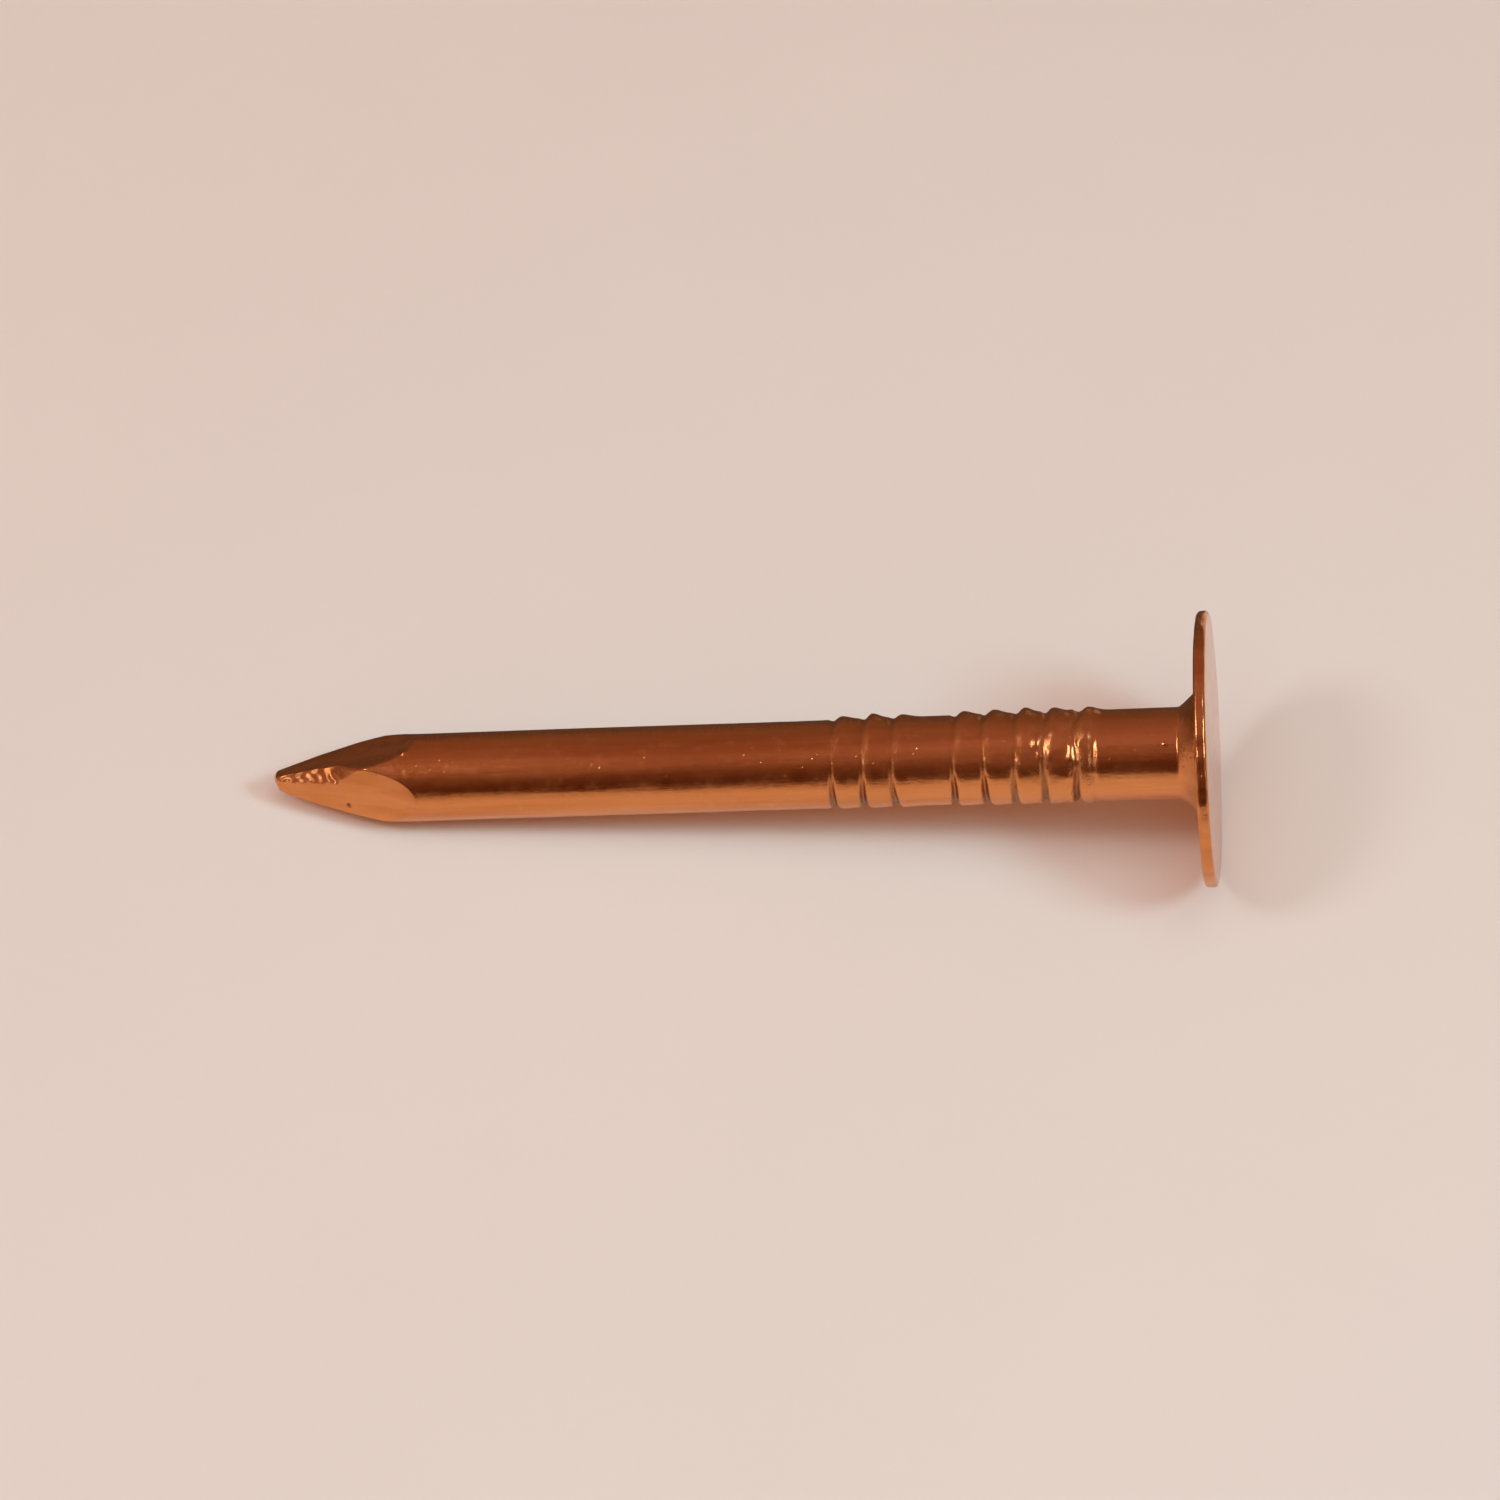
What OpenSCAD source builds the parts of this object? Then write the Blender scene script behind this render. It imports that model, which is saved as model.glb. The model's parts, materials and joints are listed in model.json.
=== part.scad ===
// A short copper clout nail: wide thin head, ring-marked shank, four-sided point.
// The nail lies along X.  The bearing face under its head is the plane x = 0,
// the shank runs towards -X, and the origin is on the shank's axis.

/* [Shank] */
// Diameter of the wire that the nail is made from
shank_d = 3.0; // [2:0.05:5]
// Length from the bearing face under the head to the blunt tip
shank_l = 31.75; // [28:0.25:60]

/* [Head] */
// Diameter of the head
head_d = 9.5; // [8:0.1:14]
// Thickness of the head
head_t = 0.43; // [0.3:0.01:1]
// Radius that rounds both edges of the head's rim
rim_round_r = 0.15; // [0.05:0.01:0.15]
// Height of the 45 degree cone that joins the shank to the head
neck_cone_h = 0.58; // [0.2:0.02:1]

/* [Point] */
// Length of the four facets, measured along the middle of one
point_l = 5.15; // [3.5:0.05:7]
// Distance from the axis to a facet at the blunt tip
tip_half_w = 0.235; // [0.1:0.005:0.4]
// Angle round the nail from the seam to the middle of a facet; 45 makes a square point
facet_turn = 49; // [41:1:49]
// Radius of the flat at the tip, from which a 45 degree cone blunts the corners
tip_flat_r = 0.27; // [0.24:0.01:0.6]

/* [Gripping rings] */
// Distance from the bearing face to the first full ring groove
first_ring = 4.15; // [3:0.05:6]
// Distance from one ring groove to the next
ring_pitch = 1.03; // [0.9:0.01:1.2]
// Number of ring places, counted with the one that is left plain
ring_count = 9; // [2:1:12]
// Place that is left plain, counted from the head
plain_place = 6; // [2:1:8]
// Depth of a groove below the shank, in the middle of a gripping die
groove_depth = 0.1; // [0.05:0.01:0.15]
// Width of a groove between the tops of its sides, in the middle of a die
groove_w = 0.42; // [0.3:0.02:0.6]
// Height of the metal raised on the head side of a groove, in the middle of a die
ridge_h = 0.1; // [0.03:0.01:0.15]
// Depth of the lone shallow bite that one die leaves nearer the head
bite_depth = 0.05; // [0.02:0.01:0.1]
// Distance from the bearing face to that bite
bite_place = 3.62; // [1.5:0.02:3.7]
// How much thicker in radius the gripped length is at the neck than the wire
neck_swell = 0.04; // [0.01:0.01:0.1]
// Lean from upright of the seam where the two gripping dies meet
seam_lean = 23; // [0:1:90]

/* [Hidden] */
$fn = 96;
shank_r = shank_d / 2;
head_r = head_d / 2;
// Depth that is left of a groove at the seam of the dies
seam_depth = 0.01;
// A groove's cutter reaches this far above the surface, and a ridge this far below it
ring_reach = 0.3;
// The two dies press from opposite sides, a quarter turn from the seam
die_sides = [90, 270];
// The die that leaves the lone bite
bite_side = 270;
// The dies grip the wire from the last ring to the head
grip_l = first_ring + (ring_count - 1) * ring_pitch + ring_pitch / 3;
// A ridge is highest just past its groove, and sinks to the surface past the next one
ridge_top_at = groove_w / 2 + 0.08;
ridge_end_at = 1.15 * ring_pitch;

// A facet runs on past the shank's surface for this many times its length
facet_overrun = 1.5;

function ring_place(i) = -first_ring - i * ring_pitch;

// Radius of the gripped length, which swells evenly towards the head
function grip_r(z) = shank_r + neck_swell * (z + grip_l) / grip_l;

// Wedge whose two sloping sides cut two opposite facets, tip at z = 0
module facet_pair() {
    end_half_w = tip_half_w + (shank_r - tip_half_w) * facet_overrun;
    end_z = point_l * facet_overrun;
    rotate([90, 0, 0])
        linear_extrude(height = head_d, center = true)
            polygon([
                [-tip_half_w, 0],
                [tip_half_w, 0],
                [end_half_w, end_z],
                [end_half_w, shank_l],
                [-end_half_w, shank_l],
                [-end_half_w, end_z]
            ]);
}

// Plain wire with its end cut to four facets, tip at z = -shank_l
module pointed_wire() {
    translate([0, 0, -shank_l])
        intersection() {
            cylinder(r = shank_r, h = shank_l - grip_l);
            rotate([0, 0, facet_turn]) facet_pair();
            rotate([0, 0, -facet_turn]) facet_pair();
            cylinder(r1 = tip_flat_r, r2 = tip_flat_r + 2 * shank_l, h = 2 * shank_l);
        }
}

// Length that the dies grip, from the plain wire to inside the head
module gripped_wire() {
    translate([0, 0, -grip_l])
        cylinder(r1 = grip_r(-grip_l), r2 = grip_r(head_t / 2), h = grip_l + head_t / 2);
}

// Ring with its axis moved off the nail's axis, so that it is deepest or highest
// in the middle of one die and fades out at the seam
module offset_ring(shift, side) {
    rotate([0, 0, side]) translate([shift, 0, 0]) rotate_extrude() children();
}

// V-shaped ring that cuts one die's half of a groove
module groove_half(z, depth, side) {
    root_r = grip_r(z) - seam_depth;
    flare = groove_w / 2 / (groove_depth + ridge_h) * ring_reach;
    translate([0, 0, z])
        offset_ring(seam_depth - depth, side)
            polygon([[root_r, 0], [root_r + ring_reach, flare], [root_r + ring_reach, -flare]]);
}

// Metal that one die squeezes up on the head side of a groove
module ridge_half(z, side) {
    surface_r = grip_r(z);
    translate([0, 0, z])
        offset_ring(ridge_h, side)
            polygon([
                [surface_r - ring_reach, 0],
                [surface_r - ridge_h, 0],
                [surface_r, ridge_top_at],
                [surface_r - ridge_h, ridge_end_at],
                [surface_r - ring_reach, ridge_end_at]
            ]);
}

module ringed_shank() {
    difference() {
        union() {
            pointed_wire();
            gripped_wire();
            for (i = [0 : ring_count - 1])
                if (i + 1 != plain_place)
                    for (side = die_sides)
                        ridge_half(ring_place(i), side);
        }
        for (i = [0 : ring_count - 1])
            if (i + 1 != plain_place)
                for (side = die_sides)
                    groove_half(ring_place(i), groove_depth, side);
        groove_half(-bite_place, bite_depth, bite_side);
    }
}

// Head with a rounded rim, its bearing face at z = 0
module head() {
    inner_r = head_r - rim_round_r;
    rotate_extrude() {
        square([inner_r, head_t]);
        translate([0, rim_round_r]) square([head_r, head_t - 2 * rim_round_r]);
        translate([inner_r, rim_round_r]) circle(r = rim_round_r);
        translate([inner_r, head_t - rim_round_r]) circle(r = rim_round_r);
    }
}

// Cone that the mouth of the dies leaves under the head
module neck_cone() {
    neck_r = grip_r(-neck_cone_h);
    translate([0, 0, -neck_cone_h])
        cylinder(r1 = neck_r, r2 = neck_r + neck_cone_h + head_t / 2, h = neck_cone_h + head_t / 2);
}

module nail() {
    color([0.72, 0.40, 0.22])
        rotate([0, 90, 0])
            rotate([0, 0, seam_lean]) {
                ringed_shank();
                neck_cone();
                head();
            }
}

nail();
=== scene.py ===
import json
import math

import bpy
import numpy as np
from mathutils import Matrix, Vector


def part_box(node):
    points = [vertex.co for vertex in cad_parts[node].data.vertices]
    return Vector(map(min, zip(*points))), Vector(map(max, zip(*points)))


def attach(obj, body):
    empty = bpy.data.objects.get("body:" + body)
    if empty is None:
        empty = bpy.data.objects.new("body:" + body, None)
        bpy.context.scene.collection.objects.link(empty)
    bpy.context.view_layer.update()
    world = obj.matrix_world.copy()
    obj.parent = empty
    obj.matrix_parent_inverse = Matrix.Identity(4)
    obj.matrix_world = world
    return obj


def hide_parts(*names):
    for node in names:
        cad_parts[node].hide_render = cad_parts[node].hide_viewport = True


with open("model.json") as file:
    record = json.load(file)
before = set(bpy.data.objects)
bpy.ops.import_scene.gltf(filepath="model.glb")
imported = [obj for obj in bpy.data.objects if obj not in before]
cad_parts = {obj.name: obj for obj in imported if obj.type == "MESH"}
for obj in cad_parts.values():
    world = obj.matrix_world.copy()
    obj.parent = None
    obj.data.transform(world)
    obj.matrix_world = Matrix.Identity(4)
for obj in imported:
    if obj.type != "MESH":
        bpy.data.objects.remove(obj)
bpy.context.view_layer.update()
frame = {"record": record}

# A copper clout nail lying on a pale table: one piece of drawn wire, cold headed and pinch pointed.
# Lengths in the dictionaries are millimetres, and places are along X from the bearing face under the head.
mm = 0.001
lowCorner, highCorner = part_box("nail")
shankMount = next(m for m in frame["record"]["mounts"] if m["name"] == "shank")
wireR = shankMount["dims"]["r_mm"]
tipX = lowCorner.x / mm
headTopX = highCorner.x / mm
headBoxR = highCorner.z / mm

wire = {
    "around": 232,          # points round the nail
    "rows": (96, 52, 168, 44, 10),  # rings of points on the point, plain wire, grooves, collar and cone
    "rowCrowding": 2.5,     # how much closer together the rings of points are at a groove
    "rowCrowdingHalf": 0.22,
    "shoulderMargin": 0.3,  # the point's rings of points run on this far past its shoulder
    "collarMargin": 0.7,    # and the grooves' this far past the lone bite
    "headGap": 0.02,        # the last ring is at least this far short of the head
    "seamLean": 24.5,       # degrees that the die seam leans from upright
    "seamCrowding": 0.22,   # share by which the points crowd towards the seams
    "drawnWaves": 0.0022,   # rms height of the long ripples left by drawing
    "drawnLines": 0.0006,   # rms height of the finer lines
    "bend": 0.015,          # how far the middle of the wire bows sideways
    "sag": 0.07,            # how far the wire sits below the middle of the head at the neck
    "sagRun": 25,           # length over which it gets there
    "aside": (0.8, 0.6),    # the way, back and up, that the tip and the head are off the axis
}

point = {
    "length": 5.15,         # along the middle of a facet
    "halfWidth": 0.235,     # axis to facet at the tip
    "slope": 0.2346,        # rise of a facet for each mm from the tip
    "bulge": 0.045,         # how far a facet bulges near the tip
    "bulgeEnd": 3.75,       # distance from the tip where the bulge ends and the flare starts
    "flare": 0.082,         # how much more a facet has risen one flareRun further on
    "flareRun": 1.22,
    "flarePower": 3.6,
    "facetTurn": 47.3,      # degrees from the seam to the middle of a facet
    "sharpness": 60,        # higher makes crisper edges
    "bandStart": 0.275,     # axis to the rough band along each seam, at the tip
    "bandSlope": 0.275,     # rise of that band for each mm from the tip
    "bandTurn": 4.5,        # degrees that the band faces away from its seam, towards the front
    "bandRough": 0.018,     # height of the lumps on that band
    "bandEnd": 3.7,         # distance from the tip where the band runs out
    "bandFade": 1.5,        # and the length over which it does
    "bandLift": 0.5,        # how far past the facets it is lifted there
    "bandEdge": 0.02,       # width of its border, measured in height
    "burr": 0.014,          # height of the lip that is pushed up round each facet
    "burrHalf": 0.025,
    "facetWave": 0.002,     # rms height of the waves left on the facets
    "tipLift": 0.07,        # how far the tip sits off the axis
    "tipSlant": 0.17,       # slope of the sheared end
    "slantTurn": 127,       # degrees from underneath to the side where the sheared end is longest
    "slantReach": 0.35,     # the slant dies away over this length
    "tipShrink": 0.35,      # share of the radius lost at the very end, to round its edge
    "tipRound": 0.04,       # length over which that is lost
    "tipBulge": 0.01,       # how far the middle of the sheared end stands out
}

rings = {
    "first": 4.2,           # from the bearing face to the first full groove
    "pitch": 1.03,
    "count": 9,
    "plain": 5,             # index of the place left plain
    "depth": 0.06,
    "frontDepth": 0.16,     # the front die bites deeper
    "depthRange": (0.9, 1.15),
    "halfWidth": 0.17,
    "blunt": 0.05,          # radius of a groove's bottom
    "frontBlunt": 0.02,     # and of the front die's
    "ridge": 0.14,          # height raised on the head side of a groove
    "ridgeRange": (0.85, 1.1),
    "ridgeUneven": 0.1,     # rms share by which that varies
    "ridgeFrom": 0.05,      # it rises from here to ridgeTop, measured from the groove
    "ridgeTop": 0.31,
    "ridgeFade": 0.36,      # and fades over this length
    "lowerRidge": 0.3,      # how high the front die's ridges are beside the other die's
    # the front die's share of the depth, and its lower ridges, start and are full at these sines of
    # the angle in front of the seam
    "frontSines": (-0.1, 0.8),
    "lowerSines": (-0.5, 0.2),
    "seamPower": 1.4,       # higher makes the grooves fade out further from the seam
    "seamDepth": 0.06,      # share of the depth left at the seams by a clean groove
    "roughSeam": 0.4,       # and how much more a rough one leaves
    "rough": [1.0, 0.9, 0.35, 0.25, 0.2, 0, 0.2, 0.25, 0.1],    # how roughly each place was bitten
    "uneven": 0.12,         # rms share by which a groove's depth varies round the nail
    "wander": 0.012,        # rms distance that a clean groove strays along the nail
    "roughWander": 0.03,    # and how much further a rough one does
    "leanMost": 0.03,       # a whole groove leans by up to this much
    "lumps": 0.028,         # height of the lumps beside a rough groove
    "lumpsFrom": 0.2,       # roughness above which there are any
    "tornReach": 0.2,       # distance from a clean groove that the metal is torn
    "roughReach": 0.3,      # and how much further from a rough one
    "tornShare": 0.4,
    "backDieShade": 0.25,     # share of the painted groove shade that the other die's grooves get beside the front die's
    "bitePlace": 3.58,      # the lone shallow bite nearer the head
    "biteDepth": 0.06,
    "biteHalf": 0.17,
    "biteBlunt": 0.03,
    "biteSine": 0.75,       # it fades out where the sine of the angle behind the seam reaches this
    "swell": 0.065,         # how much thicker the gripped wire is at the neck
    "swellMargin": 0.4,     # the swell starts this share of the pitch past the last groove
}

neck = {
    "coneAt": 0.72,         # where the mouth of the dies starts to open
    "rise": 0.6,            # how far the cone has risen where it meets the head
    "conePower": 1.12,
    "darkening": 0.45,        # painted shade: how dark the corner under the head is made, from 0 to 1
    "flashHeight": 0.006,   # seam fin between the last ring and the head
    "flashHalf": 0.06,
    "flashFrom": -4.6,      # the fin starts here
    "flashFull": -3.4,      # and has its full height from here on
    "flashLevel": 0.55,     # share of that height it has on average
    "flashRagged": 0.45,    # and the rms share by which it varies
    "burrAt": -1.12,        # a raised burr on that fin
    "burrHalf": 0.28,
    "burrHeight": 0.03,
    "burrWaves": 21,        # radians of its ragged top for each mm
    "dieShift": 0.012,      # the two dies don't quite line up
    "shiftFrom": -13,       # the step between them starts here
    "shiftFull": -12,
    "shiftSharpness": 6,
}

head = {
    "radius": 4.7,
    "rows": (14, 7, 26),    # rings of points on the underside, on each edge of the rim and on the face
    "offset": 0.04,         # the head sits a little to one side
    "offsetRun": 0.7,
    "rimRound": 0.12,
    "coneGap": 0.05,        # the underside's first ring of points is this far outside the cone
    "innerRow": 0.12,       # radius of the smallest ring of points on the face
    "outlineWave": 0.012,
    "rimNicks": 0.014,      # rms height of the fine unevenness of the rim
    "faceWave": 0.004,
    "pressedTo": 0.95,      # share of the radius out to which the face is pressed smooth
    "dish": 0.012,          # the rim's top edge is this much lower than the middle
}

dents = {
    # the plainest ones: place, angle from the seam in half turns, size and depth, where a negative
    # depth stands up
    "plain": [(-29.1, 1.40, 0.1, 0.06), (-29.75, 1.39, 0.08, 0.015), (-27.04, 0.88, 0.09, -0.06)],
    "count": 150,           # and this many faint ones anywhere between these places
    "places": (-31, -1),
    "size": (0.06, 0.15),
    "depth": (0.002, 0.009),
}


def rippleSum(turn, along, seed, count, mostTurns, mostPerMm):
    # sum of sine waves, each with a random whole number of turns round the nail and a random
    # number of waves per millimetre along it, scaled so that its rms is about one
    rng = np.random.default_rng(seed)
    total = np.zeros(np.broadcast(turn, along).shape)
    for _ in range(count):
        turns = rng.integers(-mostTurns, mostTurns + 1)
        perMm = rng.uniform(-mostPerMm, mostPerMm)
        total += np.sin(turns * turn + 2 * np.pi * perMm * along + rng.uniform(0, 2 * np.pi))
    return total / math.sqrt(count / 2)


def smoothStep(low, high, value):
    # 0 below low, 1 above high, and 3t^2 - 2t^3 between
    t = np.clip((value - low) / (high - low), 0, 1)
    return t * t * (3 - 2 * t)


def softMin(first, second):
    # the smaller of two radii, with the corner where they are equal rounded off
    sharpness = point["sharpness"]
    return (first ** -sharpness + second ** -sharpness) ** (-1 / sharpness)


def angleBetween(turn, towards):
    # signed angle from one direction to another, between -pi and pi
    return (turn - towards + np.pi) % (2 * np.pi) - np.pi


def veeShape(along, blunt, halfWidth):
    # 1 at the bottom of a groove, falling in two straight flanks to 0; a hyperbola blunts the bottom
    return np.clip(1 - np.sqrt(along * along + blunt ** 2) / halfWidth, 0, None)


def wireTurns():
    # even steps, crowded towards the seams at 0 and pi: a = u - k sin 2u
    even = np.arange(wire["around"]) * 2 * np.pi / wire["around"]
    return even - wire["seamCrowding"] * np.sin(2 * even)


def ringPlaces():
    # index and x of each groove that the dies press
    places = [-rings["first"] - i * rings["pitch"] for i in range(rings["count"])]
    return [(i, x) for i, x in enumerate(places) if i != rings["plain"]]


def shankStations():
    # x of every ring of points from the tip to the neck, closest together at the point and the
    # grooves: the density of the rings is 1 plus a bell curve for every groove
    shoulder = tipX + point["length"] + wire["shoulderMargin"]
    gripEnd = -rings["first"] - rings["count"] * rings["pitch"]
    collar = -rings["bitePlace"] + wire["collarMargin"]
    ends = [tipX, shoulder, gripEnd, collar, -neck["coneAt"], -wire["headGap"]]
    grooves = [x for _, x in ringPlaces()] + [-rings["bitePlace"]]
    rows = []
    for start, end, count in zip(ends[:-1], ends[1:], wire["rows"]):
        fine = np.linspace(start, end, 4000)    # the density is summed over these places
        density = np.ones(len(fine))
        for place in grooves:
            density += wire["rowCrowding"] * np.exp(-((fine - place) / wire["rowCrowdingHalf"]) ** 2)
        share = (np.cumsum(density) - density[0]) / (density.sum() - density[0])
        rows.append(np.interp(np.arange(count) / count, share, fine))
    return np.concatenate(rows)


def grippedRadius(x, turn):
    # the wire's radius plus an even swell towards the neck; each die's grooves are V shapes whose
    # depth falls with a power of the sine of the angle from the seam, and each groove has a ridge on
    # its head side that rises as a smooth step and fades as a bell curve; also returns how much
    # painted shade darkens each point in the grooves, and how torn each point is, from 0 to 1
    lastPlace = rings["count"] - 1 + rings["swellMargin"]
    gripEnd = -rings["first"] - lastPlace * rings["pitch"]
    radius = wireR + rings["swell"] * np.clip((x - gripEnd) / -gripEnd, 0, 1) + 0 * turn
    fromSeam = np.abs(np.sin(turn)) ** rings["seamPower"]
    frontDie = smoothStep(*rings["frontSines"], -np.sin(turn))
    ridgeShare = 1 - (1 - rings["lowerRidge"]) * smoothStep(*rings["lowerSines"], -np.sin(turn))
    paintedShade = 0 * radius
    torn = 0 * radius
    rng = np.random.default_rng(21)
    for index, place in ringPlaces():
        rough = rings["rough"][index]
        seamShare = rings["seamDepth"] + rings["roughSeam"] * rough
        dieShare = seamShare + (1 - seamShare) * fromSeam

        # where the groove runs: it wanders and leans
        wander = (rings["wander"] + rings["roughWander"] * rough) * rippleSum(turn, 0, 60 + index, 4, 4, 0)
        lean = rng.uniform(-rings["leanMost"], rings["leanMost"]) * np.cos(turn + rng.uniform(0, 6))
        u = x - place - wander - lean

        uneven = 1 + rings["uneven"] * (0.6 + rough) * rippleSum(turn, 0, 40 + index, 4, 3, 0)
        depth = rings["depth"] + (rings["frontDepth"] - rings["depth"]) * frontDie
        depth = depth * rng.uniform(*rings["depthRange"]) * dieShare * uneven
        blunt = rings["blunt"] + (rings["frontBlunt"] - rings["blunt"]) * frontDie
        vee = veeShape(u, blunt, rings["halfWidth"] * (0.4 + 0.6 * dieShare))

        fade = np.exp(-(np.clip(u - rings["ridgeTop"], 0, None) / rings["ridgeFade"]) ** 2)
        upset = rings["ridge"] * rng.uniform(*rings["ridgeRange"]) * dieShare * ridgeShare * fade
        upset = upset * smoothStep(rings["ridgeFrom"], rings["ridgeTop"], u)
        upset = upset * (1 + rings["ridgeUneven"] * rippleSum(turn, x, 80 + index, 5, 5, 0.8))
        radius = radius + upset - depth * vee

        # only the tops of the ripples stand up as lumps
        nearGroove = np.exp(-(u / (rings["tornReach"] + rings["roughReach"] * rough)) ** 2)
        lumps = np.clip(rippleSum(turn, x, 100 + index, 14, 16, 3), 0, None)
        radius = radius + rings["lumps"] * max(rough - rings["lumpsFrom"], 0) * lumps * nearGroove

        # painted shade in each groove: full in the front die's grooves and weaker in the other die's
        dark = rings["backDieShade"] + (1 - rings["backDieShade"]) * frontDie
        paintedShade = np.maximum(paintedShade, np.minimum(2 * vee, 1) * dieShare * dark)
        torn = np.maximum(torn, rings["tornShare"] * rough * nearGroove)
    biteShare = np.clip(rings["biteSine"] - np.sin(turn), 0, 1)
    bite = veeShape(x + rings["bitePlace"], rings["biteBlunt"], rings["biteHalf"])
    return radius - rings["biteDepth"] * biteShare * bite, paintedShade, torn


def facetReach(x, turn):
    # distance from the axis to a facet: a straight slope, plus half a sine near the tip and a power
    # curve at the shoulder, with faint waves
    s = x - tipX
    bulge = point["bulge"] * np.sin(np.pi * np.clip(s / point["bulgeEnd"], 0, 1))
    past = np.clip((s - point["bulgeEnd"]) / point["flareRun"], 0, None)
    reach = point["halfWidth"] + point["slope"] * s + bulge + point["flare"] * past ** point["flarePower"]
    return reach + point["facetWave"] * rippleSum(turn, x, 6, 12, 6, 0.9)


def pointRadius(x, turn):
    # a soft minimum joins the four facets at their edges, and the two seam ridges are flattened to a
    # rough band, whose share of the surface is returned too
    farOut = 1e3
    s = x - tipX
    reach = facetReach(x, turn)
    facetTurn = math.radians(point["facetTurn"])
    radius = np.full(np.broadcast(x, turn).shape, farOut)
    for middle in (facetTurn, -facetTurn, np.pi - facetTurn, np.pi + facetTurn):
        slant = np.cos(angleBetween(turn, middle))
        plane = np.where(slant > 0.05, reach / np.clip(slant, 0.05, None), farOut)
        radius = softMin(radius, np.clip(plane, 0.05, farOut))
    torn = 0 * radius
    run = smoothStep(point["bandEnd"], point["bandEnd"] - point["bandFade"], s)
    bandTurn = math.radians(point["bandTurn"])
    for seam, seed in ((-bandTurn, 7), (np.pi + bandTurn, 8)):
        away = angleBetween(turn, seam)
        lumps = point["bandRough"] * rippleSum(turn, x, seed, 26, 12, 3.4)
        band = point["bandStart"] + point["bandSlope"] * s + lumps * run + point["bandLift"] * (1 - run)
        band = band / np.clip(np.cos(away), 0.2, 1)
        torn = np.maximum(torn, run * smoothStep(point["bandEdge"], -point["bandEdge"], band - radius))
        radius = softMin(radius, band)
    return radius, torn


def dentedRadius(x, turn, radius):
    # round dents, each a bell curve of the distance over the surface
    rng = np.random.default_rng(5)
    marks = [(place, halfTurns * np.pi, size, depth) for place, halfTurns, size, depth in dents["plain"]]
    for _ in range(dents["count"]):
        place = rng.uniform(*dents["places"])
        towards = rng.uniform(0, 2 * np.pi)
        marks.append((place, towards, rng.uniform(*dents["size"]), rng.uniform(*dents["depth"])))
    for place, towards, size, depth in marks:
        gap = (x - place) ** 2 + (radius * angleBetween(turn, towards)) ** 2
        radius = radius - depth * np.exp(-gap / size ** 2)
    return radius


def seamFin(x, turn):
    # height of the metal left where the dies meet: a thin ragged fin and a burr on it, both bell
    # curves of the distance from the seam, and one die standing a little prouder than the other
    gripped = smoothStep(neck["flashFrom"], neck["flashFull"], x)
    ripple = np.clip(rippleSum(0 * turn, x, 12, 10, 0, 1.6), -1, 1.5)
    ragged = neck["flashLevel"] + neck["flashRagged"] * ripple
    burr = np.exp(-((x - neck["burrAt"]) / neck["burrHalf"]) ** 4)
    burr = burr * (0.5 + 0.5 * np.sin(neck["burrWaves"] * x))
    height = neck["flashHeight"] * gripped * ragged + neck["burrHeight"] * burr
    fin = 0 * height
    for seam in (0, np.pi):
        away = angleBetween(turn, seam) * wireR
        fin = fin + height * np.exp(-(away / neck["flashHalf"]) ** 2)
    step = neck["dieShift"] * np.tanh(neck["shiftSharpness"] * np.sin(turn))
    return fin + step * smoothStep(neck["shiftFrom"], neck["shiftFull"], x)


def shankSurface():
    # grid of points: x runs along the stations, the radius is the smaller of wire and point
    stations = shankStations()[:, None]
    turn = wireTurns()[None, :]
    body, paintedShade, torn = grippedRadius(stations, turn)
    body = body + wire["drawnWaves"] * rippleSum(turn, stations, 3, 16, 9, 0.25)
    body = body + wire["drawnLines"] * rippleSum(turn, stations, 4, 40, 38, 0.12)
    body = body + seamFin(stations, turn)
    # the cone at the neck, with painted shade darkening it towards the head
    opened = np.clip((stations + neck["coneAt"]) / neck["coneAt"], 0, None)
    body = body + neck["rise"] * opened ** neck["conePower"]
    paintedShade = np.maximum(paintedShade, neck["darkening"] * smoothStep(-neck["coneAt"], 0, stations))
    # the facets, with a lip just outside their edges
    facets, tornBand = pointRadius(stations, turn)
    radius = softMin(body, facets)
    lip = np.exp(-((facets - body - point["burrHalf"]) / point["burrHalf"]) ** 2)
    radius = dentedRadius(stations, turn, radius + point["burr"] * lip)
    # the sheared end leans, and its edge is rounded
    s = stations - tipX
    upwards = np.cos(turn + math.radians(wire["seamLean"]) - math.radians(point["slantTurn"]))
    slant = point["tipSlant"] * radius * (1 - upwards) * np.exp(-s / point["slantReach"])
    radius = radius * (1 - point["tipShrink"] * np.exp(-s / point["tipRound"]))
    return stations + slant, radius, paintedShade, np.maximum(torn, tornBand)


def headProfile():
    # (x, radius) of the head from the neck outwards, round the rim and in to the middle of the top,
    # as straight runs joined by two quarter circles
    underRows, edgeRows, faceRows = head["rows"]
    r, edgeR, top = head["radius"], head["rimRound"], headTopX
    inner = wireR + rings["swell"] + neck["rise"] + head["coneGap"]
    underside = np.stack([np.zeros(underRows), np.linspace(inner, r - edgeR, underRows)], 1)
    bow = np.linspace(0, np.pi / 2, edgeRows)
    lower = np.stack([edgeR - edgeR * np.cos(bow), r - edgeR + edgeR * np.sin(bow)], 1)
    upper = np.stack([top - edgeR + edgeR * np.sin(bow), r - edgeR + edgeR * np.cos(bow)], 1)
    inwards = np.linspace(r - edgeR, head["innerRow"], faceRows + 1)[1:]
    face = np.stack([np.full(faceRows, top), inwards], 1)
    return np.concatenate([underside, lower[1:], upper, face])


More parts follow.
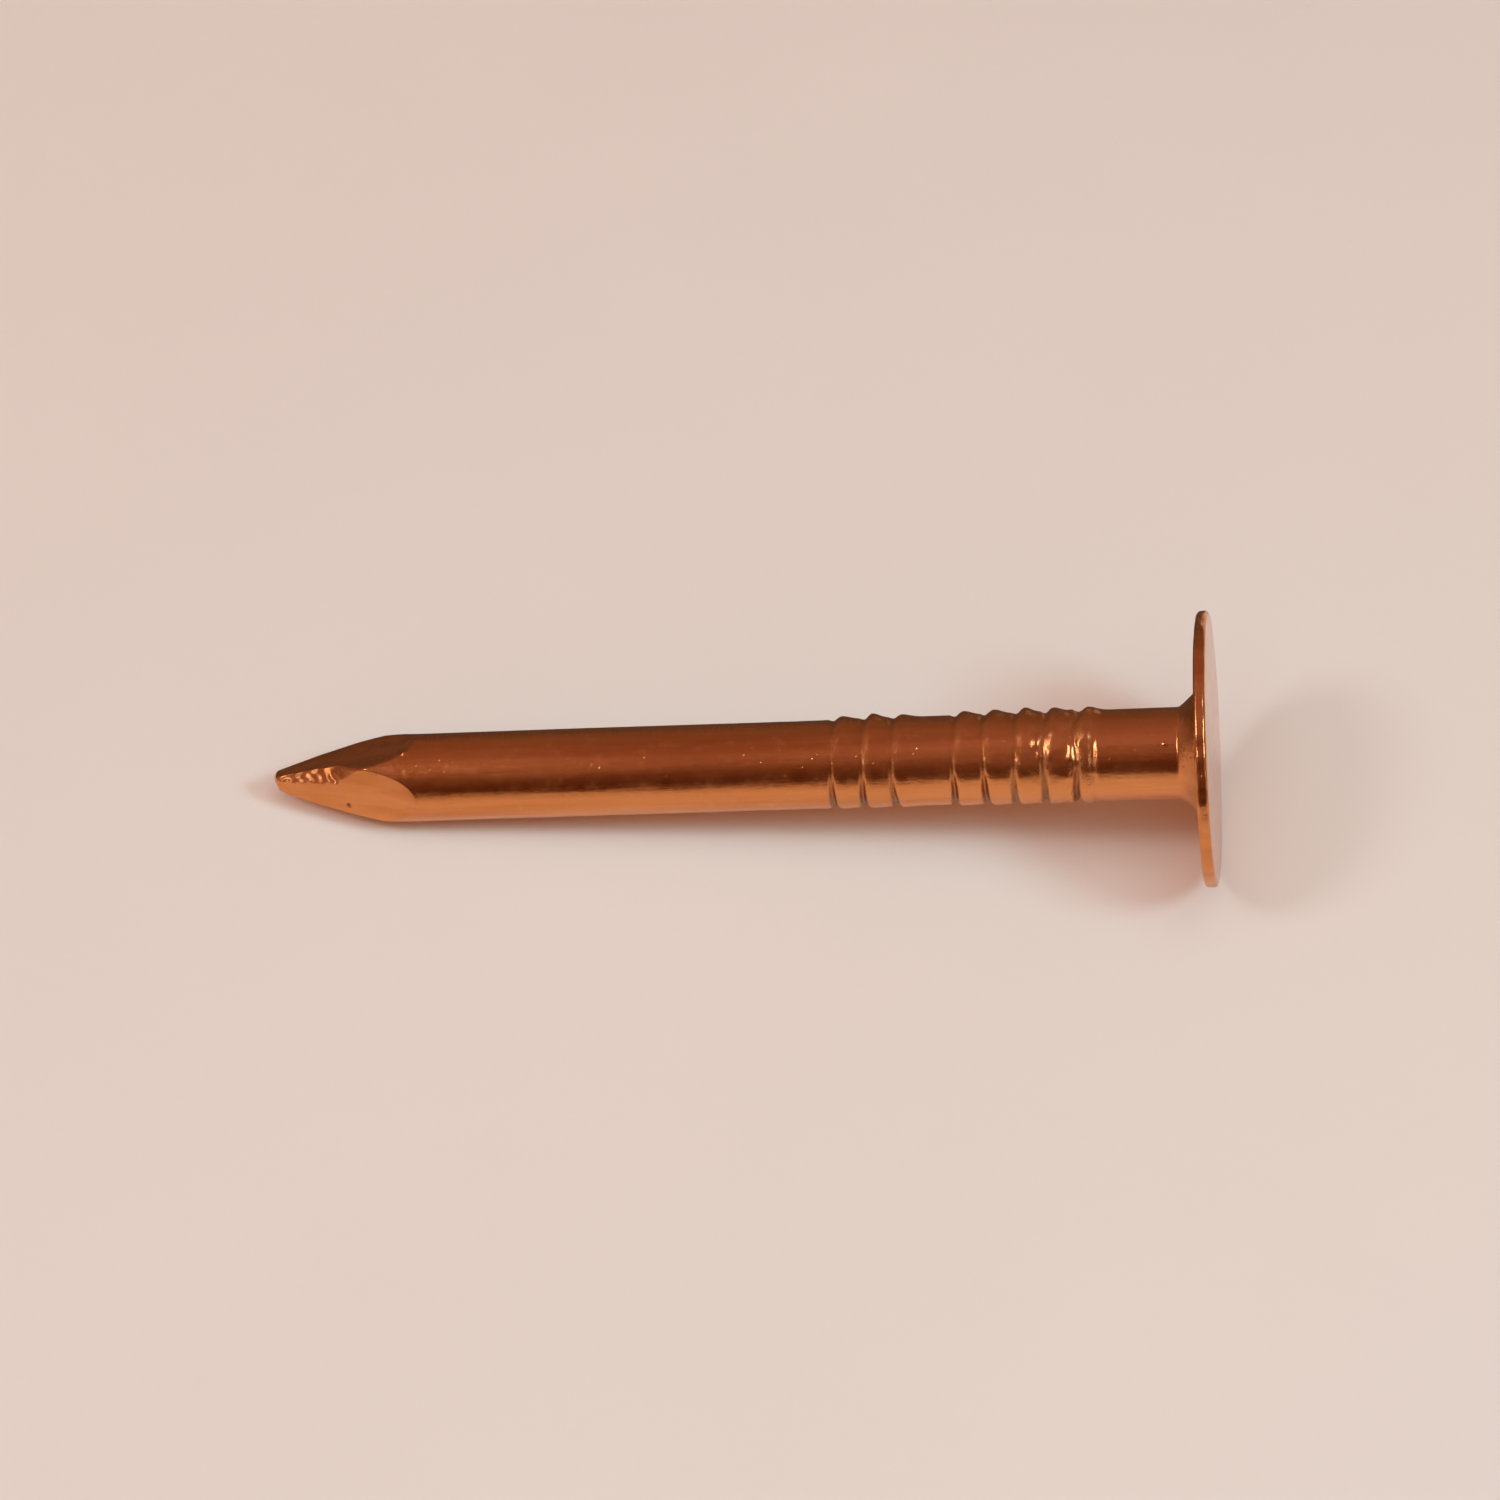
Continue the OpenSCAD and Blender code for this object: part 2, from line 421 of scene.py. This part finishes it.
def headSurface():
    # the profile turned round the axis, with an uneven outline, a faint dish and hammer-soft waves
    # that only ever lie inside it; also returns how smoothly each point was pressed, from 0 to 1
    turn = wireTurns()[None, :]
    profile = headProfile()
    x, radius = profile[:, :1], profile[:, 1:]
    share = radius / head["radius"]
    topShare = smoothStep(0.2, 0.4, x)      # 0 on the underside and 1 on the face
    calm = smoothStep(0, 0.5, share)        # no waves in the very middle
    wave = head["faceWave"] * (rippleSum(turn, radius, 32, 12, 6, 0.5) * calm - 2)
    along = x + topShare * (np.minimum(wave, 0) - head["dish"] * share ** 2)
    along = along + (1 - topShare) * np.maximum(-wave, 0) * smoothStep(0.5, 0.7, share)
    outline = head["outlineWave"] * (rippleSum(turn, 0, 31, 8, 7, 0) - 1)
    nicks = head["rimNicks"] * (rippleSum(turn, x, 33, 30, 45, 1.5) - 2)
    outline = outline + nicks * smoothStep(0.9, 1, share)
    pressed = topShare * smoothStep(1, head["pressedTo"], share)
    return along, radius + outline * smoothStep(0.5, 1, share), pressed + 0 * turn


def closedMesh(name, points, rows, around):
    # quads between neighbouring rings, and a fan of triangles at each end
    index = np.arange(rows * around).reshape(rows, around)
    nextIndex = np.roll(index, -1, axis=1)
    quads = np.stack([index[:-1], nextIndex[:-1], nextIndex[1:], index[1:]], -1).reshape(-1, 4)
    tip, crown = rows * around, rows * around + 1
    tipFan = np.stack([np.full(around, tip), nextIndex[0], index[0]], 1)
    crownFan = np.stack([np.full(around, crown), index[-1], nextIndex[-1]], 1)
    mesh = bpy.data.meshes.new(name)
    mesh.from_pydata(points.tolist(), [], quads.tolist() + tipFan.tolist() + crownFan.tolist())
    mesh.polygons.foreach_set("use_smooth", np.ones(len(mesh.polygons), bool))
    # one map wraps the surface: u goes round the nail and v along its profile
    row, column = np.divmod(index, around)
    u = np.stack([column, column + 1, column + 1, column], -1)[:-1].reshape(-1, 4) / around
    v = np.stack([row[:-1], row[:-1], row[1:], row[1:]], -1).reshape(-1, 4) / rows
    fanU = np.stack([column[0] + 0.5, column[0] + 1, column[0]], 1) / around
    fanV = np.tile([0, 0.5 / rows, 0.5 / rows], (around, 1))
    u = np.concatenate([u.ravel(), fanU.ravel(), fanU[:, [0, 2, 1]].ravel()])
    v = np.concatenate([v.ravel(), fanV.ravel(), (1 - fanV).ravel()])
    wrap = mesh.uv_layers.new(name="wrap")
    wrap.data.foreach_set("uv", np.stack([u, v], 1).ravel())
    mesh.update()
    return mesh


def centreLine(x):
    # y and z of the nail's middle: the wire bows as a parabola and sags towards the neck, the tip is
    # lifted, and the head is set to one side
    s = np.clip(x / tipX, 0, 1)
    bow = wire["bend"] * 4 * s * (1 - s)
    lift = point["tipLift"] * np.clip(1 - (x - tipX) / point["length"], 0, 1)
    sunk = np.clip((x + wire["sagRun"]) / wire["sagRun"], 0, 1) * (1 - smoothStep(-0.1, 0, x))
    aside = lift + head["offset"] * smoothStep(-head["offsetRun"], 0, x) - wire["sag"] * sunk
    return wire["aside"][0] * aside + bow, wire["aside"][1] * aside


def addShares(mesh, shares):
    # a point attribute from each pair of grids, for the shank and the head; the two poles of the mesh
    # take their neighbour's value
    for name, pair in shares.items():
        grid = np.concatenate(pair).ravel()
        values = np.concatenate([grid, [grid[0], grid[-1]]])
        mesh.attributes.new(name, "FLOAT", "POINT").data.foreach_set("value", values)


def buildNail():
    # the shank's grid and the head's, joined into one closed skin round the centre line
    shankX, shankRadius, paintedShade, torn = shankSurface()
    headX, headRadius, pressed = headSurface()
    x = np.concatenate([shankX, headX])
    radius = np.concatenate([shankRadius, headRadius])
    towards = wireTurns()[None, :] + math.radians(wire["seamLean"])
    centreY, centreZ = centreLine(x)
    y = centreY + radius * np.sin(towards)
    z = centreZ - radius * np.cos(towards)
    tip = [x[0].mean() - point["tipBulge"], y[0].mean(), z[0].mean()]
    crown = [x[-1].mean(), y[-1].mean(), z[-1].mean()]
    points = np.concatenate([np.stack([x, y, z], -1).reshape(-1, 3), [tip, crown]])
    points[:, 0] = np.clip(points[:, 0], tipX, headTopX)
    mesh = closedMesh("nailSurface", points * mm, len(x), wire["around"])
    plainShank, plainHead = 0 * paintedShade, 0 * pressed
    # the painted shade in the grooves and under the head goes to the material as an attribute, with the torn
    # and pressed shares
    addShares(mesh, {
        "paintedShade": (paintedShade, plainHead),
        "torn": (torn, plainHead),
        "pressed": (plainShank, pressed),
    })
    nail = bpy.data.objects.new("copper_nail", mesh)
    bpy.context.scene.collection.objects.link(nail)
    print("nail:", len(mesh.vertices), "points,", 2 * len(x) * wire["around"], "triangles")
    return nail


def addNode(tree, kind, settings=None, **inputs):
    # a node with its plain settings, and each input, by its name or as i and its number, given a
    # value or linked to a socket
    node = tree.nodes.new(kind)
    for key, value in (settings or {}).items():
        setattr(node, key, value)
    for key, value in inputs.items():
        byNumber = key[0] == "i" and key[1:].isdigit()
        socket = node.inputs[int(key[1:])] if byNumber else node.inputs[key]
        if isinstance(value, bpy.types.NodeSocket):
            tree.links.new(value, socket)
        else:
            socket.default_value = value
    return node


def mixColours(tree, share, first, second):
    # the first colour where share is 0 and the second where it is 1
    mix = addNode(tree, "ShaderNodeMix", {"data_type": "RGBA"}, Factor=share, i6=first, i7=second)
    return mix.outputs[2]


def mapRange(tree, value, span, results, smooth=False):
    # value taken from one span to another in proportion, and held at its ends
    settings = {"interpolation_type": "SMOOTHSTEP" if smooth else "LINEAR"}
    node = addNode(tree, "ShaderNodeMapRange", settings, Value=value,
                   i1=span[0], i2=span[1], i3=results[0], i4=results[1])
    return node.outputs[0]


def combine(tree, operation, *values):
    # one arithmetic operation on two or three values
    inputs = {"i%d" % i: value for i, value in enumerate(values)}
    return addNode(tree, "ShaderNodeMath", {"operation": operation}, **inputs).outputs[0]


copper = {
    "clean": (0.78, 0.305, 0.105, 1),
    "brown": (0.60, 0.20, 0.06, 1),
    "pale": (0.85, 0.37, 0.15, 1),
    # colour of the painted shade in the grooves and under the head
    "paintedShade": (0.36, 0.15, 0.06, 1),
    "drawnOut": 0.06,       # the lines and clouds are this much slower along the wire than across
    "cloudScale": 0.9,      # waves per mm
    "brownClouds": (0.4, 0.62),     # noise heights where clouds start to be brown and are brownest
    "brownMost": 0.9,
    "spotScale": 2.2,
    "paleSpots": (0.55, 0.75),      # and the same for the pale spots
    "paleMost": 0.5,
    "roughSpots": (0.3, 0.7),
    "rough": (0.16, 0.26),          # roughness at those two heights
    # added where metal is torn, in the grooves, and on the head's pressed face
    "roughTorn": 0.16,
    "roughHollow": 0.1,
    "roughPressed": -0.13,
    "anisotropy": 0.75,     # drawing lines blur reflections across the wire, not along it
    "lineScale": 7.0,
    "lineDepth": 0.02 * mm,
    "spotDepth": 0.05 * mm,
    "pitScale": 3.0,
    "pitEdge": (0.03, 0.12),        # distances, in pit spacings, of a pit's floor and rim from its middle
    "pitDepth": 0.02 * mm,
}


def copperMaterial():
    # drawn copper: metallic colour that drifts between clean and brown in stretched clouds and
    # lightens in spots, and is darkened by painted shade in the grooves and under the head; fine
    # lengthwise lines, soft dents and specks as bump; roughness follows the spots, and the grooves,
    # torn metal and pressed face change it
    material = bpy.data.materials.new("drawnCopper")
    material.use_nodes = True
    tree = material.node_tree
    tree.nodes.clear()
    place = addNode(tree, "ShaderNodeTexCoord").outputs["Object"]
    even = addNode(tree, "ShaderNodeMapping", Vector=place, Scale=(1 / mm, 1 / mm, 1 / mm)).outputs[0]
    drawn = addNode(tree, "ShaderNodeMapping", Vector=place,
                    Scale=(copper["drawnOut"] / mm, 1 / mm, 1 / mm)).outputs[0]
    lines = addNode(tree, "ShaderNodeTexNoise", Vector=drawn, Scale=copper["lineScale"],
                    Detail=4.0, Roughness=0.6).outputs[0]
    clouds = addNode(tree, "ShaderNodeTexNoise", Vector=drawn, Scale=copper["cloudScale"],
                     Detail=5.0, Roughness=0.55).outputs[0]
    spots = addNode(tree, "ShaderNodeTexNoise", Vector=even, Scale=copper["spotScale"],
                    Detail=6.0, Roughness=0.6).outputs[0]
    grains = addNode(tree, "ShaderNodeTexVoronoi", Vector=even, Scale=copper["pitScale"])
    pits = mapRange(tree, grains.outputs["Distance"], copper["pitEdge"], (1.0, 0.0))
    shares = {name: addNode(tree, "ShaderNodeAttribute", {"attribute_name": name}).outputs["Fac"]
              for name in ("paintedShade", "torn", "pressed")}

    darkening = mapRange(tree, clouds, copper["brownClouds"], (0.0, copper["brownMost"]))
    colour = mixColours(tree, darkening, copper["clean"], copper["brown"])
    fresh = mapRange(tree, spots, copper["paleSpots"], (0.0, copper["paleMost"]))
    colour = mixColours(tree, fresh, colour, copper["pale"])
    # painted shade: the grooves and the corner under the head are darkened towards dark brown
    colour = mixColours(tree, shares["paintedShade"], colour, copper["paintedShade"])

    rough = mapRange(tree, spots, copper["roughSpots"], copper["rough"])
    for name, extra in (("torn", "roughTorn"), ("paintedShade", "roughHollow"), ("pressed", "roughPressed")):
        rough = combine(tree, "MULTIPLY_ADD", shares[name], copper[extra], rough)

    lineBump = addNode(tree, "ShaderNodeBump", Strength=0.35, Distance=copper["lineDepth"], Height=lines)
    spotBump = addNode(tree, "ShaderNodeBump", Strength=0.3, Distance=copper["spotDepth"], Height=spots,
                       Normal=lineBump.outputs[0])
    pitBump = addNode(tree, "ShaderNodeBump", {"invert": True}, Strength=0.4,
                      Distance=copper["pitDepth"], Height=pits, Normal=spotBump.outputs[0])
    across = addNode(tree, "ShaderNodeTangent", {"direction_type": "UV_MAP", "uv_map": "wrap"})
    shader = addNode(tree, "ShaderNodeBsdfPrincipled", Roughness=rough, Normal=pitBump.outputs[0],
                     Tangent=across.outputs[0], Metallic=1.0, Anisotropic=copper["anisotropy"])
    tree.links.new(colour, shader.inputs["Base Color"])
    addNode(tree, "ShaderNodeOutputMaterial", Surface=shader.outputs[0])
    return material


table = {
    "colour": (0.82, 0.825, 0.745, 1),
    "cloudScale": 90.0,     # waves per metre of its faint clouds
    "cloudShade": 0.97,     # and how dark they are beside its colour
    "halfSize": 400,
    "gap": 0.01,            # between the table and the head's rim
    "rimX": 0.2,            # where along X the rim rests
    "wall": (0.73, 0.62, 0.55, 1),      # what the camera sees past the table
    "fade": (0.045, 0.11),  # m from the nail, where the table starts to turn into the wall and is it
    "tiltRise": headBoxR - wireR,   # the head lifts this end of the nail off the table
    "tiltRun": 28.0,        # from the rim to the shoulder of the point
}
tilt = math.atan(table["tiltRise"] / table["tiltRun"])
tableUp = Vector((math.sin(tilt), 0, math.cos(tilt)))
tableAlong = Vector((math.cos(tilt), 0, -math.sin(tilt)))
rimLow = Vector((table["rimX"], 0, -headBoxR))


def flatSheet(name, meshName, origin, alongs, behinds):
    # a rectangle in the table's plane, from its distances along the nail and behind it
    corners = [origin + tableAlong * along + Vector((0, behind, 0))
               for along, behind in ((alongs[0], behinds[0]), (alongs[1], behinds[0]),
                                     (alongs[1], behinds[1]), (alongs[0], behinds[1]))]
    mesh = bpy.data.meshes.new(meshName)
    mesh.from_pydata([tuple(c * mm) for c in corners], [], [(0, 1, 2, 3)])
    sheet = bpy.data.objects.new(name, mesh)
    bpy.context.scene.collection.objects.link(sheet)
    return sheet


def buildTable():
    # a flat sheet through the lowest point of the head's rim and the shoulder of the point
    half = table["halfSize"]
    sheet = flatSheet("table_top", "tableTop", rimLow - tableUp * table["gap"], (-half, half), (-half, half))
    material = bpy.data.materials.new("paleTable")
    material.use_nodes = True
    tree = material.node_tree
    shader = tree.nodes["Principled BSDF"]
    place = addNode(tree, "ShaderNodeTexCoord").outputs["Object"]
    clouds = addNode(tree, "ShaderNodeTexNoise", Vector=place, Scale=table["cloudScale"], Detail=3.0)
    shade = tuple(table["cloudShade"] * c for c in table["colour"][:3]) + (1,)
    colour = mixColours(tree, clouds.outputs[0], table["colour"], shade)
    tree.links.new(colour, shader.inputs["Base Color"])
    shader.inputs["Roughness"].default_value = 0.9
    shader.inputs["Specular IOR Level"].default_value = 0.0
    # far from the nail the camera sees the wall's colour instead, so that no horizon shows
    distance = addNode(tree, "ShaderNodeVectorMath", {"operation": "LENGTH"}, i0=place).outputs["Value"]
    far = mapRange(tree, distance, table["fade"], (0.0, 1.0), smooth=True)
    far = combine(tree, "MULTIPLY", far, addNode(tree, "ShaderNodeLightPath").outputs["Is Camera Ray"])
    glow = addNode(tree, "ShaderNodeEmission", Color=table["wall"], Strength=1.0)
    blend = addNode(tree, "ShaderNodeMixShader", Fac=far, i1=shader.outputs[0], i2=glow.outputs[0])
    tree.links.new(blend.outputs[0], tree.nodes["Material Output"].inputs["Surface"])
    sheet.data.materials.append(material)


studio = {
    # each softbox: direction along the nail, towards the back and up; size in metres; power;
    # colour; and whether polished metal mirrors it
    "softboxes": [
        ((-0.75, -0.35, 1), 0.063, 0.13, (1.05, 1.02, 1.10), True),
        ((0.78, -0.35, 1), 0.078, 0.2, (0.72, 1.15, 1.35), True),
        ((0, -0.3, 1), 0.26, 0.34, (0.92, 1.11, 1.19), False),
    ],
    "softboxDistance": 0.3,     # m
    # colour of the room from the front horizon over the top to the back horizon
    "room": [
        (0.0, (0.07, 0.025, 0.012)),
        (0.15, (0.10, 0.04, 0.02)),
        (0.29, (0.24, 0.127, 0.10)),
        (0.45, (0.42, 0.25, 0.25)),
        (0.62, (0.34, 0.187, 0.168)),
        (0.82, (0.25, 0.142, 0.098)),
        (1.0, (0.16, 0.10, 0.07)),
    ],
    "sides": (0.31, 0.185, 0.15, 1),    # colour of the room to the left and the right
    "glowSides": (1.1, 0.6, 0.3, 1),    # and of what the metal throws from there on the table
    "sideCosines": (0.35, 0.75),    # of the angle to the nail, where the sides start and are full
    # what lights the table from the front and from the back
    "fillFront": (0.58, 0.18, 0.075, 1),
    "fillBack": (0.30, 0.095, 0.04, 1),
    "cardColour": (0.12, 0.08, 0.055, 1),
    "cardHeight": 0.03,     # above the head's lowest point
    "cardAlong": (-300, -0.2),
    "cardBehind": (2.2, 200),
}


def buildLights():
    # square softboxes, each facing the nail from its own direction
    for ratio, size, power, colour, mirrored in studio["softboxes"]:
        towards = (tableAlong * ratio[0] + Vector((0, ratio[1], 0)) + tableUp * ratio[2]).normalized()
        data = bpy.data.lights.new("softbox", "AREA")
        data.shape = "SQUARE"
        data.size = size
        data.energy = power
        data.color = colour
        lamp = bpy.data.objects.new("softbox", data)
        lamp.location = towards * studio["softboxDistance"]
        lamp.rotation_mode = "QUATERNION"
        lamp.rotation_quaternion = towards.to_track_quat("Z", "Y")
        lamp.visible_glossy = mirrored
        bpy.context.scene.collection.objects.link(lamp)


def buildDarkCard():
    # a dark card lying on the table behind the nail, which only the metal's reflections see
    low = rimLow + tableUp * studio["cardHeight"]
    card = flatSheet("dark_card", "darkCard", low, studio["cardAlong"], studio["cardBehind"])
    card.visible_camera = False
    card.visible_diffuse = False
    card.visible_shadow = False
    material = bpy.data.materials.new("darkCard")
    material.use_nodes = True
    tree = material.node_tree
    tree.nodes.clear()
    glow = addNode(tree, "ShaderNodeEmission", Color=studio["cardColour"], Strength=1.0)
    addNode(tree, "ShaderNodeOutputMaterial", Surface=glow.outputs[0])
    card.data.materials.append(material)


def buildRoom():
    # colour by the angle of the direction over the nail, from the front horizon to the back one,
    # and another towards the two sides; the table is lit by its own fill, and the camera itself
    # sees a plain pale wall
    world = bpy.data.worlds.new("room")
    bpy.context.scene.world = world
    world.use_nodes = True
    tree = world.node_tree
    tree.nodes.clear()
    direction = addNode(tree, "ShaderNodeTexCoord").outputs["Generated"]
    path = addNode(tree, "ShaderNodeLightPath").outputs

    def along(axis):
        dot = {"operation": "DOT_PRODUCT"}
        return addNode(tree, "ShaderNodeVectorMath", dot, i0=direction, i1=tuple(axis)).outputs["Value"]

    angle = combine(tree, "ARCTAN2", along(tableUp), along((0, -1, 0)))
    share = combine(tree, "DIVIDE", angle, math.pi)
    ramp = addNode(tree, "ShaderNodeValToRGB", Fac=share)
    stops = ramp.color_ramp.elements
    while len(stops) < len(studio["room"]):
        stops.new(0.5)
    for stop, (where, colour) in zip(stops, studio["room"]):
        stop.position = where
        stop.color = colour + (1,)
    sideways = combine(tree, "ABSOLUTE", along(tableAlong))
    flank = mapRange(tree, sideways, studio["sideCosines"], (0.0, 1.0), smooth=True)
    sides = mixColours(tree, path["Diffuse Depth"], studio["sides"], studio["glowSides"])
    mirrored = mixColours(tree, flank, ramp.outputs[0], sides)
    fill = mixColours(tree, share, studio["fillFront"], studio["fillBack"])
    lit = mixColours(tree, path["Is Diffuse Ray"], mirrored, fill)
    shown = mixColours(tree, path["Is Camera Ray"], lit, table["wall"])
    sky = addNode(tree, "ShaderNodeBackground", Color=shown, Strength=1.0)
    addNode(tree, "ShaderNodeOutputWorld", Surface=sky.outputs[0])


viewing = {
    "elevation": 53,        # degrees above the table
    "azimuth": 2.5,         # degrees towards the head's end
    "distance": 238,
    "lens": 168,
    "sensor": 36,
    "lookAt": -15.346,      # along the nail
    "lookUp": 0.557,        # up the picture
}


def buildCamera():
    # looks down at the table from the front, turned a little towards the head's end
    rise = math.radians(viewing["elevation"])
    turn = math.radians(viewing["azimuth"])
    level = tableAlong * math.sin(turn) + Vector((0, -1, 0)) * math.cos(turn)
    back = level * math.cos(rise) + tableUp * math.sin(rise)
    up = (tableUp - back * tableUp.dot(back)).normalized()
    right = up.cross(back)
    data = bpy.data.cameras.new("viewCamera")
    data.lens = viewing["lens"]
    data.sensor_width = viewing["sensor"]
    data.clip_start = 0.01
    data.clip_end = 5
    camera = bpy.data.objects.new("viewCamera", data)
    place = Vector((viewing["lookAt"], 0, 0)) + up * viewing["lookUp"] + back * viewing["distance"]
    camera.matrix_world = Matrix((right, up, back)).transposed().to_4x4()
    camera.location = place * mm
    bpy.context.scene.collection.objects.link(camera)
    bpy.context.scene.camera = camera


nail = buildNail()
nail.data.materials.append(copperMaterial())
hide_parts("nail")
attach(nail, "root")
print("copper nail in place")
buildTable()
buildLights()
buildDarkCard()
buildRoom()
buildCamera()
bpy.context.scene.view_settings.view_transform = "Standard"
print("table, lights and camera in place")
